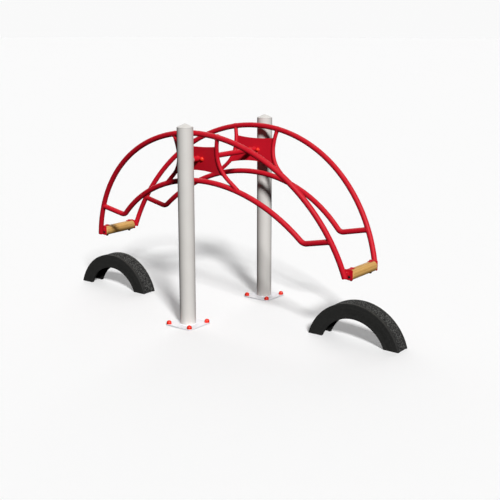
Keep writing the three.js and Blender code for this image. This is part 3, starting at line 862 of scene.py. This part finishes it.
def build_log(end_name, end):
    lo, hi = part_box(f"{end_name}_seat_log")
    centre = (lo + hi) / 2
    half = (hi.y - lo.y) / 2
    r = (hi.x - lo.x) / 2 - LOG_SKIN
    edge_steps, body_steps = 6, 44
    end_profile = [(r * f, -half) for f in (0.0, 0.2, 0.4, 0.6)]
    for i in range(edge_steps + 1):
        a = math.pi / 2 * i / edge_steps
        end_profile.append((r - LOG_EDGE * (1 - math.sin(a)), -half + LOG_EDGE * (1 - math.cos(a))))
    body = [(r, (half - LOG_EDGE) * (2 * i / body_steps - 1)) for i in range(1, body_steps)]
    profile = end_profile + body + [(q, -h) for q, h in reversed(end_profile)]
    material = timber(f"round_timber_{end_name}", tuple(centre))
    log = lathe(profile, 200, centre, "Y", log_wobble(1.0 + end))
    add_piece(f"{end_name}_timber_seat", *log, [material], "beam", "wood", [f"{end_name}_seat_log"],
              sharp=60.0)


def hexagon(across, height):
    """A nut standing on z = 0, its top edge chamfered, with a shallow dish in the top."""
    chamfer, dish = 0.0012, 0.0006
    r = across / math.sqrt(3)
    rings = ((r, 0), (r, height - chamfer), (r - chamfer * 1.4, height), (r * 0.62, height),
             (r * 0.58, height - dish))
    angles = [math.pi / 3 * k for k in range(6)]
    verts = [Vector((q * math.cos(a), q * math.sin(a), z)) for q, z in rings for a in angles]
    faces = bridge(len(rings), 6, False)
    faces.append(tuple(range(6)))
    faces.append(tuple(range(len(verts) - 6, len(verts))))
    return verts, faces


END_PLATE_HALF_W = 0.036           # the plate against the log's end, about the log's axis
END_PLATE_TOP = 0.043
END_PLATE_FOOT = -0.034
END_PLATE_CORNER = 0.008
BRACKET_T = 0.005
TONGUE_HALF_W = 0.014
TONGUE_END_Y = 0.112
SPACER_X = 1.243
SPACER_HALF_W = 0.015
SPACER_LOW = 0.002
SPACER_HIGH = 0.026
OVERLAP = 0.001                    # how far the bracket's welded parts run into each other
NUT_ACROSS = 0.019
BOLT_R = 0.005
BOLT_STUB = 0.003
BOLT_TIP = 0.0008
SEAT_WASHER_R = 0.0125
SEAT_HEAD_R = 0.011
SCREW_HEAD_H = 0.006
SCREW_RIM = 0.0012
SOCKET_R = 0.0036
SOCKET_DEPTH = 0.003


def prism(outline, from_y, to_y):
    """A closed solid between two places along Y, from an outline of (x, z) points."""
    return slab([Vector((x, from_y, z)) for x, z in outline], [Vector((x, to_y, z)) for x, z in outline])


def over_log(radius, half_angle, steps=8):
    """Points on a circle about the log's axis, over its top from +X to -X."""
    angles = [math.pi / 2 + half_angle * (2 * i / steps - 1) for i in range(steps + 1)]
    return [(radius * math.cos(a), radius * math.sin(a)) for a in angles]


def corner(x, y, radius, start, steps):
    """A quarter circle of points about (x, y), from the angle start."""
    angles = [start + math.pi / 2 * i / steps for i in range(steps + 1)]
    return [(x + radius * math.cos(a), y + radius * math.sin(a)) for a in angles]


def end_plate_outline(outer, half_angle):
    """A plate with round corners, the tongue's upright standing above the middle of its top."""
    reach = END_PLATE_HALF_W - END_PLATE_CORNER
    high, low = END_PLATE_TOP - END_PLATE_CORNER, END_PLATE_FOOT + END_PLATE_CORNER
    upright = [(TONGUE_HALF_W, END_PLATE_TOP)] + over_log(outer, half_angle)
    upright.append((-TONGUE_HALF_W, END_PLATE_TOP))
    right_top, left_top, left_foot, right_foot = (
        corner(x, z, END_PLATE_CORNER, math.pi / 2 * quarter, 6)
        for quarter, (x, z) in enumerate(((reach, high), (-reach, high), (-reach, low), (reach, low)))
    )
    return right_top + upright + left_top + left_foot + right_foot


def build_bracket(place, end_name):
    """The end plate, the tongue over the log and the spacer block, built as the rear ones stand."""
    side = SIDES[place]
    log_lo, log_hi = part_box(f"{end_name}_seat_log")
    log = (log_lo + log_hi) / 2
    inner = (log_hi.x - log_lo.x) / 2 + CLEARANCE
    outer = inner + BRACKET_T
    near = (log_hi.y - log_lo.y) / 2 + CLEARANCE
    far = near + BRACKET_T
    arch_y = APEX_Y - (APEX_Z - log.z) * math.tan(LEAN)
    half_angle = math.asin(TONGUE_HALF_W / outer)
    tongue = over_log(outer, half_angle) + over_log(inner, half_angle)[::-1]
    spacer_x = side * (math.copysign(SPACER_X, log.x) - log.x)
    left, right = spacer_x - SPACER_HALF_W, spacer_x + SPACER_HALF_W
    spacer = [(left, SPACER_LOW), (right, SPACER_LOW), (right, SPACER_HIGH), (left, SPACER_HIGH)]
    whole = joined(
        prism(end_plate_outline(outer, half_angle), near, far),
        prism(tongue, TONGUE_END_Y, near + OVERLAP),
        prism(spacer, far - OVERLAP, arch_y),
    )
    turn = Matrix.Translation((log.x, 0, log.z)) @ Matrix.Rotation(0 if side > 0 else math.pi, 4, "Z")
    bracket = f"{place}_seat_bracket_{end_name}"
    piece = add_red_part(f"{place}_{end_name}_seat_clamp", moved(turn, whole), [bracket], sharp=30.0)
    round_edges(piece, 0.0012)
    build_seat_bolt(place, end_name, log.z - inner, log.z + outer)
    build_end_screw(place, end_name)


def build_seat_bolt(place, end_name, under, over):
    """A washer, a nut and the thread's end below the log, and the round head, painted, on the tongue."""
    lo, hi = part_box(f"{place}_seat_bolt_{end_name}")
    centre = (lo + hi) / 2
    nut_height = under - lo.z - BOLT_STUB
    nut = moved(Matrix.Translation((0, 0, WASHER_T)), hexagon(NUT_ACROSS, nut_height - WASHER_T))
    stub = lathe([(0, 0), (BOLT_R, 0), (BOLT_R, BOLT_STUB - BOLT_TIP), (BOLT_R - BOLT_TIP, BOLT_STUB),
                  (0, BOLT_STUB)], 32, Vector((0, 0, nut_height - 0.0006)))
    down = Matrix.Translation((centre.x, centre.y, under)) @ Matrix.Rotation(math.pi, 4, "X")
    below = moved(down, joined(washer(SEAT_WASHER_R, 36), nut, stub))
    face = over + CLEARANCE
    head = lathe(dome_profile(SEAT_HEAD_R, hi.z - face, 0.001, 8), 36, Vector((centre.x, centre.y, face)))
    face_slots = [0] * len(below[1]) + [1] * len(head[1])
    add_piece(f"{place}_{end_name}_seat_bolt_and_nut", *joined(below, head), [BOLT_BLACK, RED_COAT], "beam",
              "black_steel", [f"{place}_seat_bolt_{end_name}"], sharp=25.0, face_slots=face_slots)


def build_end_screw(place, end_name):
    """The round head of the screw in the log's end, with a round socket sunk in it."""
    side = SIDES[place]
    lo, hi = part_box(f"{place}_end_screw_{end_name}")
    centre = (lo + hi) / 2
    tip = hi.y if side > 0 else lo.y
    dome = dome_profile((hi.x - lo.x) / 2, SCREW_HEAD_H, SCREW_RIM, 8)[:7]
    socket_foot = SCREW_HEAD_H - SOCKET_DEPTH
    profile = [(0.0, 0.0)] + dome + [(SOCKET_R, SCREW_HEAD_H - 0.0003), (SOCKET_R - 0.0003, socket_foot),
                                     (0.0, socket_foot)]
    turn = Matrix.Translation((centre.x, tip - side * SCREW_HEAD_H, centre.z)) @ Matrix.Scale(side, 4, OUT)
    add_piece(f"{place}_{end_name}_screw_head", *moved(turn, lathe(profile, 40, axis="Y")), [BOLT_BLACK],
              "beam", "black_steel", [f"{place}_end_screw_{end_name}"])


# ---- posts ----
POST_SIDES = 96
COLLAR_SUNK = 0.010                # the collar starts this deep in the post
FOOT_CORNER = 0.016
FOOT_WELD_R = 0.0045


def build_post(place):
    lo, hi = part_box(f"{place}_post")
    centre = Vector(((lo.x + hi.x) / 2, (lo.y + hi.y) / 2, 0))
    r = (hi.x - lo.x) / 2
    steps = 30
    rise = [(r, lo.z + (hi.z - lo.z) * i / steps) for i in range(steps + 1)]
    tube = lathe([(0.0, lo.z)] + rise + [(0.0, hi.z)], POST_SIDES, centre)
    add_post_part(f"{place}_round_post", tube, [f"{place}_post"], sharp=50.0)
    build_cone_cap(place, centre, r, hi.z + CLEARANCE)
    build_collar(place, abs(centre.y) - r)
    build_base(place, centre, r)


def build_cone_cap(place, centre, r, foot):
    """A short straight band, a soft edge and a shallow cone that is slightly full."""
    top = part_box(f"{place}_post_cap")[1].z
    band, chamfer, soft, fullness = 0.0025, 0.0008, 0.0022, 0.05
    cone = [(0.0, foot), (r - chamfer, foot), (r, foot + chamfer), (r, foot + band)]
    cone += [(r - soft * (1 - math.cos(a)), foot + band + soft * math.sin(a)) for a in (0.2, 0.5, 0.8)]
    rim_r, rim_z = cone[-1]
    for t in (0.1, 0.3, 0.5, 0.7, 0.85, 0.94):
        share = (t - fullness * t * t) / (1 - fullness)
        cone.append((rim_r * (1 - t), rim_z + (top - rim_z) * share))
    cone.append((0.0, top))
    add_post_part(f"{place}_cone_cap", lathe(cone, POST_SIDES, centre), [f"{place}_post_cap"], sharp=40.0)


def build_collar(place, post_face):
    """The round collar on the axle, on the post's inner side."""
    side = SIDES[place]
    lo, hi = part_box(f"{place}_axle_seal")
    start_y = post_face + COLLAR_SUNK
    depth = start_y - abs(hi.y if side < 0 else lo.y)
    r = (hi.x - lo.x) / 2
    bore = TUBE_R + 0.0008
    collar = [(bore, 0.0), (r, 0.0), (r, depth - 0.002), (r - 0.0006, depth - 0.0006), (r - 0.002, depth),
              (bore + 0.003, depth), (bore + 0.0012, depth - 0.0012), (bore, depth - 0.003), (bore, 0.0)]
    turn = Matrix.Translation((0, side * start_y, PIVOT_Z)) @ Matrix.Scale(-side, 4, OUT)
    add_post_part(f"{place}_axle_collar", moved(turn, lathe(collar, 64, axis="Y")), [f"{place}_axle_seal"])


def rounded_square(half, radius):
    reach = half - radius
    places = ((reach, reach), (-reach, reach), (-reach, -reach), (reach, -reach))
    return [p for quarter, (x, y) in enumerate(places) for p in corner(x, y, radius, math.pi / 2 * quarter, 8)]


def build_base(place, centre, post_r):
    """The square foot plate, the weld round the post's foot and the domed caps."""
    lo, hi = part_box(f"{place}_base_plate")
    outline = rounded_square((hi.x - lo.x) / 2, FOOT_CORNER)
    under, over = ([Vector((centre.x + x, centre.y + y, z)) for x, y in outline] for z in (lo.z, hi.z))
    plate = add_piece(f"{place}_foot_plate", *slab(under, over), [PLATE_PALE], "stand", "plate_grey",
                      [f"{place}_base_plate"], sharp=30.0)
    round_edges(plate, 0.002)
    steps = 320
    angles = [2 * math.pi * k / steps for k in range(steps)]
    ring = [centre + Vector((post_r * math.cos(a), post_r * math.sin(a), hi.z)) for a in angles]
    weld = bead(ring, FOOT_WELD_R, UP, ripple=0.10, pitch=0.006)
    add_piece(f"{place}_foot_weld", *weld, [PLATE_PALE], "stand", "plate_grey", sharp=80.0)
    for number in range(1, 5):
        build_dome(place, number)


def build_dome(place, number):
    """A domed cap over an anchor bolt, with a small groove above its rim."""
    lo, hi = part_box(f"{place}_bolt_cap_{number}")
    r = (hi.x - lo.x) / 2
    height = hi.z - lo.z
    profile = [(0.0, 0.0), (r, 0.0), (r, 0.0035), (r - 0.0004, 0.0042), (r - 0.0014, 0.0045),
               (r - 0.0014, 0.0052), (r - 0.0006, 0.0056)]
    straight_top = 0.009
    dome = dome_profile(r - 0.0004, height - straight_top, 0, 14)[1:]
    profile += [(q, straight_top + z) for q, z in dome]
    foot = Vector(((lo.x + hi.x) / 2, (lo.y + hi.y) / 2, lo.z))
    add_piece(f"{place}_dome_{number}", *lathe(profile, 48, foot), [CAP_RED], "stand", "red_cap",
              [f"{place}_bolt_cap_{number}"])


# ---- half-buried tyres ----
TYRE_WALL = 0.016
TYRE_CORNER = 0.005                # radius between the flat sidewall and the tread
TREAD_HALF = TYRE_HALF_W - 0.022   # the tread leaves a smooth margin at each side
TYRE_BEAD_W = 0.022
TYRE_BEAD_H = 0.014
RIBS = (0.305, 0.362)              # radii of the two fine moulded rings on the sidewall
RIB_H = 0.0010
RIB_W = 0.003
WALL_HOLLOW = 0.0012


def tyre_section():
    """(radius, place across, is tread) round the whole U-shaped section, from the front bead outwards."""
    outer = []
    side_steps = 26
    for i in range(side_steps + 1):
        t = i / side_steps
        r = TYRE_BEAD_R + (TYRE_R - TYRE_CORNER - TYRE_BEAD_R) * t
        rib = RIB_H * sum(math.exp(-((r - ring) / RIB_W) ** 2) for ring in RIBS)
        hollow = WALL_HOLLOW * (math.sin(math.pi * min(1.0, 2 * t)) - 0.2 * math.sin(math.pi * t))
        outer.append((r, hollow - rib - TYRE_HALF_W, False))
    corner_steps = 6
    for i in range(1, corner_steps + 1):
        a = math.pi / 2 * i / corner_steps
        across = TYRE_HALF_W - TYRE_CORNER * (1 - math.cos(a))
        outer.append((TYRE_R - TYRE_CORNER * (1 - math.sin(a)), -across, False))
    outer += [(TYRE_R, -(TREAD_HALF + 0.011), False), (TYRE_R, -(TREAD_HALF + 0.002), False)]
    tread_steps = 56
    tread = [(TYRE_R, TREAD_HALF * (2 * i / tread_steps - 1), True) for i in range(tread_steps + 1)]
    far = [(r, -y, False) for r, y, _ in reversed(outer)]
    roof, fillet = TYRE_R - TYRE_WALL, 0.012
    inner_half = TYRE_HALF_W - TYRE_WALL
    bead_half = TYRE_HALF_W - TYRE_BEAD_W
    inside = [(TYRE_BEAD_R, bead_half, False), (TYRE_BEAD_R + TYRE_BEAD_H, bead_half, False),
              (TYRE_BEAD_R + TYRE_BEAD_W, inner_half, False), (roof - fillet, inner_half, False),
              (roof, inner_half - fillet, False)]
    return outer + tread + far + inside + [(r, -y, False) for r, y, _ in reversed(inside)]


LUG_PITCH = 0.0105
LUG_DEPTH = 0.0055


def tread_relief(along, across, seed):
    """How far the tread lies below its crown: worn lugs with grooves between them."""
    cell = Vector((along / LUG_PITCH, across / LUG_PITCH, seed * 11.0))
    near, _ = noise.voronoi(cell)
    groove = max(0.0, 1 - (near[1] - near[0]) / 0.22)
    rough = noise.noise(cell * 2.7) * 0.45 + noise.noise(cell * 0.35) * 0.4
    edge = min(1.0, (TREAD_HALF - abs(across)) / 0.008)
    return LUG_DEPTH * (0.8 * groove + 0.3 + rough * 0.5) * max(0.0, edge)


def build_tyre(end_name, end):
    """An arc of the section past both sides of the ground, cut off level with it."""
    section = tyre_section()
    count = len(section)
    steps = 460
    reach = math.radians(80)
    centre = Vector((end * TYRE_X, TYRE_Y, TYRE_CENTRE_Z))
    verts = []
    for i in range(steps + 1):
        a = -reach + 2 * reach * i / steps
        for r, y, is_tread in section:
            if is_tread:
                r -= tread_relief(a * TYRE_R, y, 1.0 + end)
            verts.append(centre + Vector((r * math.sin(a), y, r * math.cos(a))))
    slots = [1 if section[k][2] and section[(k + 1) % count][2] else 0 for k in range(count)]
    mesh = bpy.data.meshes.new(f"{end_name}_rubber")
    mesh.from_pydata([tuple(v) for v in verts], [], bridge(steps + 1, count, False))
    mesh.materials.append(SIDEWALL)
    mesh.materials.append(TREAD)
    mesh.polygons.foreach_set("material_index", slots * steps)
    work = bmesh.new()
    work.from_mesh(mesh)
    everything = work.verts[:] + work.edges[:] + work.faces[:]
    cut = bmesh.ops.bisect_plane(work, geom=everything, plane_co=ORIGIN, plane_no=-UP, clear_outer=True)
    rim = [g for g in cut["geom_cut"] if isinstance(g, bmesh.types.BMEdge)]
    bmesh.ops.holes_fill(work, edges=rim, sides=0)
    work.to_mesh(mesh)
    work.free()
    finish_piece(f"{end_name}_half_tyre", mesh, "stand", [f"{end_name}_tyre"], sharp=75.0)


for place in SIDES:
    build_frame(place)
    build_post(place)
build_axle()
for end_name, end in ENDS.items():
    build_log(end_name, end)
    build_tyre(end_name, end)
    for place in SIDES:
        build_bracket(place, end_name)

HIDDEN_FINISH = {"axle_bearing": NYLON, "anchor_bolt": STEEL}
for name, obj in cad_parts.items():
    for part, material in HIDDEN_FINISH.items():
        if part in name:
            obj.data.materials.clear()
            obj.data.materials.append(material)


# ---- floor, light and camera ----
FLOOR_REACH = 300.0
FLOOR_TONE = 0.86
FLOOR_LIFT = 0.13                  # a little light of its own, so that the floor reads as plain white


def build_floor():
    corners = [(x * FLOOR_REACH, y * FLOOR_REACH, 0) for x, y in ((-1, -1), (1, -1), (1, 1), (-1, 1))]
    mesh = bpy.data.meshes.new("floor")
    mesh.from_pydata(corners, [], [(0, 1, 2, 3)])
    floor = new_object("floor", mesh)
    material, tree = new_material("plain_floor")
    lit = node(tree, "BsdfDiffuse", {"Color": grey(FLOOR_TONE)})
    lifted = node(tree, "Emission", {"Color": grey(1), "Strength": FLOOR_LIFT})
    both = node(tree, "AddShader", {0: lit.outputs[0], 1: lifted.outputs[0]})
    node(tree, "OutputMaterial", {"Surface": both.outputs[0]})
    mesh.materials.append(material)
    floor.visible_diffuse = False
    floor.visible_glossy = False


def add_sun(name, energy, spread, bearing, height):
    """A distant light. Its bearing is measured from straight in front of the beam towards +X."""
    sun = bpy.data.lights.new(name, "SUN")
    sun.energy = energy
    sun.angle = math.radians(spread)
    across, up = math.radians(bearing), math.radians(height)
    towards = Vector((math.sin(across) * math.cos(up), -math.cos(across) * math.cos(up), math.sin(up)))
    lamp = new_object(name, sun)
    lamp.rotation_mode = "QUATERNION"
    lamp.rotation_quaternion = (-towards).to_track_quat("-Z", "Y")


def build_light():
    """A sun, a weak one from behind, soft light from overhead, and a pale backdrop."""
    add_sun("key_light", energy=3.9, spread=9, bearing=52, height=34)
    add_sun("back_fill", energy=1.3, spread=60, bearing=226, height=30)
    world = bpy.data.worlds.new("studio")
    bpy.context.scene.world = world
    world.use_nodes = True
    tree = world.node_tree
    tree.nodes.clear()
    direction = node(tree, "TexCoord").outputs["Generated"]
    rise = node(tree, "SeparateXYZ", {0: direction}).outputs["Z"]
    overhead = ramp(tree, rise, 0.0, 0.6, 0.0, 0.075)
    soft = node(tree, "Background", {"Color": grey(1), "Strength": overhead})
    seen = node(tree, "Background", {"Color": grey(1), "Strength": 0.95})
    straight_on = node(tree, "LightPath").outputs["Is Camera Ray"]
    mixed = node(tree, "MixShader", {0: straight_on, 1: soft.outputs[0], 2: seen.outputs[0]})
    node(tree, "OutputWorld", {"Surface": mixed.outputs[0]})


CAMERA_PLACE = (4.5717, -5.6827, 2.235)
CAMERA_DOWN = 13.356               # degrees below level
CAMERA_TURN = 37.386               # degrees from +Y towards -X
CAMERA_LENS = 66.26


def build_camera():
    data = bpy.data.cameras.new("camera")
    data.sensor_width = 36.0
    data.lens = CAMERA_LENS
    camera = new_object("camera", data)
    camera.location = CAMERA_PLACE
    camera.rotation_euler = (math.radians(90 - CAMERA_DOWN), 0, math.radians(CAMERA_TURN))
    bpy.context.scene.camera = camera


build_floor()
build_light()
build_camera()
bpy.context.scene.view_settings.view_transform = "Standard"
